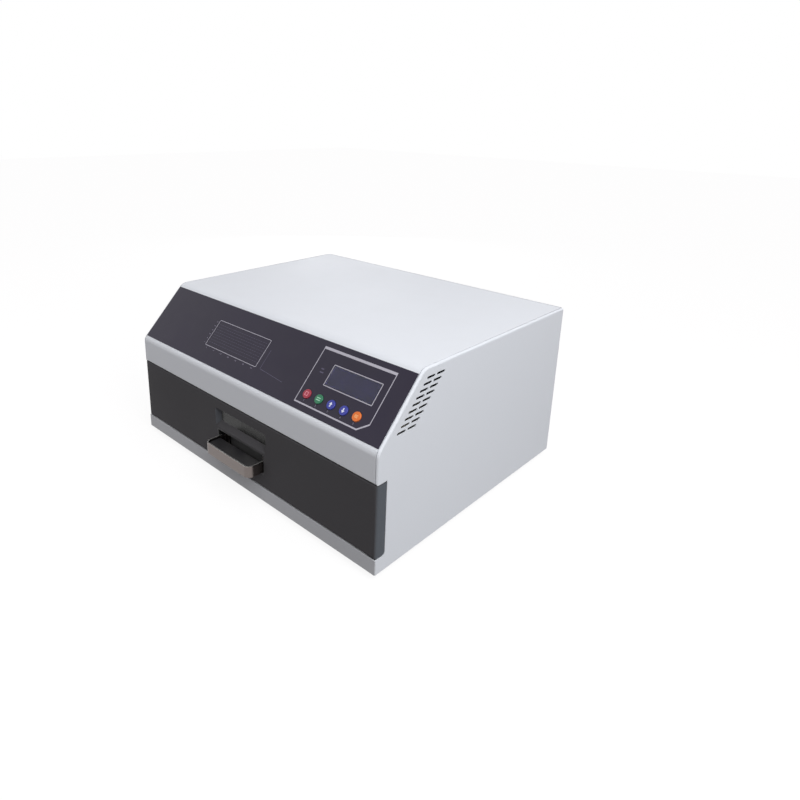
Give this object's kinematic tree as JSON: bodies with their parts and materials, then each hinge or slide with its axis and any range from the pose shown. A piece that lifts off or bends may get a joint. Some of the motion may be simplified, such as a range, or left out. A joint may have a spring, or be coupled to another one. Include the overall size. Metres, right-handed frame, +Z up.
{
  "type": "reflow oven",
  "caption": "Bench-top infrared reflow oven: a wide pale sheet-metal casing with a sloping dark control panel above a pull-out drawer that carries circuit boards on a mesh tray.",
  "frame": {"origin": "on the standing surface, under the middle of the object's bounding box", "axes": "+X to the right seen from the front, +Y from the drawer's handle towards the back, +Z up"},
  "size_m": [0.453, 0.4, 0.218],
  "materials": {
    "casing_paint": "pale grey powder coat, fine satin texture",
    "drawer_paint": "dark charcoal powder coat, satin",
    "pocket_plastic": "black moulded plastic, fine grain",
    "overlay_film": "dark blue-grey printed film, semi-gloss",
    "display_lens": "smoked clear lens",
    "display_body": "black moulded frame",
    "circuit_board": "green solder mask with components",
    "red_key": "satin moulded key",
    "green_key": "satin moulded key",
    "blue_key": "satin moulded key",
    "orange_key": "satin moulded key",
    "brushed_strip": "brushed along the strip",
    "bright_sheet": "plain mill-finish sheet",
    "zinc_steel": "zinc-plated pressed steel",
    "screw_steel": "zinc-plated screws",
    "reflector_sheet": "bright folded aluminium",
    "motor_steel": "drawn motor can",
    "transformer_core": "laminated core with taped coil",
    "black_plastic": "black moulded plastic",
    "rocker_plastic": "black polished plastic",
    "foot_rubber": "moulded rubber",
    "seal_rope": "woven heat-proof seal",
    "window_glass": "tinted heat-proof glass",
    "quartz_tube": "clear quartz with heating coil",
    "white_ceramic": "unglazed ceramic",
    "fibre_board": "ceramic fibre board"
  },
  "bodies": {
    "casing": {"base_pan": "casing_paint", "right_side_panel": "casing_paint", "left_side_panel": "casing_paint", "top_cover": "casing_paint", "rear_panel": "casing_paint", "rubber_feet": "foot_rubber", "rear_screws": "screw_steel", "control_overlay": "overlay_film", "display_window": "display_lens", "display_module": "display_body", "control_board": "circuit_board", "board_standoffs": "screw_steel", "electronics_shelf": "zinc_steel", "power_board": "circuit_board", "mains_transformer": "transformer_core", "power_inlet": "black_plastic", "exhaust_fan_frame": "black_plastic", "fan_guard": "screw_steel", "front_frame": "bright_sheet", "chamber_floor": "bright_sheet", "chamber_right_wall": "bright_sheet", "chamber_left_wall": "bright_sheet", "chamber_roof": "bright_sheet", "chamber_back": "bright_sheet", "roof_insulation": "fibre_board", "side_insulation": "fibre_board", "back_insulation": "fibre_board", "reflector": "reflector_sheet", "heater_tubes": "quartz_tube", "heater_caps": "white_ceramic", "thermocouples": "screw_steel", "circulation_motor": "motor_steel", "right_cabinet_rail": "zinc_steel", "left_cabinet_rail": "zinc_steel", "rail_screws": "screw_steel"},
    "drawer": {"drawer_front": "drawer_paint", "drawer_inner_panel": "bright_sheet", "viewing_window": "window_glass", "window_seal": "foot_rubber", "handle_pocket": "pocket_plastic", "drawer_handle": "brushed_strip", "handle_grip": "black_plastic", "handle_screws": "screw_steel", "door_seal": "seal_rope", "tray_frame": "bright_sheet", "tray_mesh": "bright_sheet", "left_drawer_rail": "zinc_steel", "right_drawer_rail": "zinc_steel"},
    "left_slide": {"left_middle_rail": "zinc_steel", "left_ball_retainer": "zinc_steel"},
    "right_slide": {"right_middle_rail": "zinc_steel", "right_ball_retainer": "zinc_steel"},
    "rocker": {"power_rocker": "rocker_plastic"},
    "exhaust_rotor": {"exhaust_fan_rotor": "black_plastic"},
    "circulation_rotor": {"circulation_impeller": "reflector_sheet"},
    "stop_button": {"stop_key": "red_key"},
    "start_button": {"start_key": "green_key"},
    "up_button": {"up_key": "blue_key"},
    "down_button": {"down_key": "blue_key"},
    "menu_button": {"menu_key": "orange_key"}
  },
  "joints": [
    {"name": "drawer_slide", "type": "slide", "parent": "casing", "child": "drawer", "axis": [0, -1, 0], "range_m": [0, 0.26]},
    {"name": "left_rail_slide", "type": "slide", "parent": "casing", "child": "left_slide", "axis": [0, -1, 0], "range_m": [0, 0.13]},
    {"name": "right_rail_slide", "type": "slide", "parent": "casing", "child": "right_slide", "axis": [0, -1, 0], "range_m": [0, 0.13]},
    {"name": "rocker_hinge", "type": "hinge", "parent": "casing", "child": "rocker", "pos_m": [-0.1425, 0.192, 0.087], "axis": [-1, 0, 0], "range_deg": [0, 20]},
    {"name": "exhaust_spin", "type": "hinge", "parent": "casing", "child": "exhaust_rotor", "pos_m": [0.1165, 0.18, 0.08513], "axis": [0, 1, 0], "continuous": true},
    {"name": "circulation_spin", "type": "hinge", "parent": "casing", "child": "circulation_rotor", "pos_m": [0, -0.0071, 0.12], "axis": [0, 0, 1], "continuous": true},
    {"name": "stop_press", "type": "slide", "parent": "casing", "child": "stop_button", "axis": [0, 0.7249, -0.6889], "range_m": [0, 0.0008], "stiffness_N_per_m": 1500},
    {"name": "start_press", "type": "slide", "parent": "casing", "child": "start_button", "axis": [0, 0.7249, -0.6889], "range_m": [0, 0.0008], "stiffness_N_per_m": 1500},
    {"name": "up_press", "type": "slide", "parent": "casing", "child": "up_button", "axis": [0, 0.7249, -0.6889], "range_m": [0, 0.0008], "stiffness_N_per_m": 1500},
    {"name": "down_press", "type": "slide", "parent": "casing", "child": "down_button", "axis": [0, 0.7249, -0.6889], "range_m": [0, 0.0008], "stiffness_N_per_m": 1500},
    {"name": "menu_press", "type": "slide", "parent": "casing", "child": "menu_button", "axis": [0, 0.7249, -0.6889], "range_m": [0, 0.0008], "stiffness_N_per_m": 1500}
  ],
  "couplings": [
    {"joint": "left_rail_slide", "follows": "drawer_slide", "ratio": 0.5},
    {"joint": "right_rail_slide", "follows": "drawer_slide", "ratio": 0.5}
  ]
}
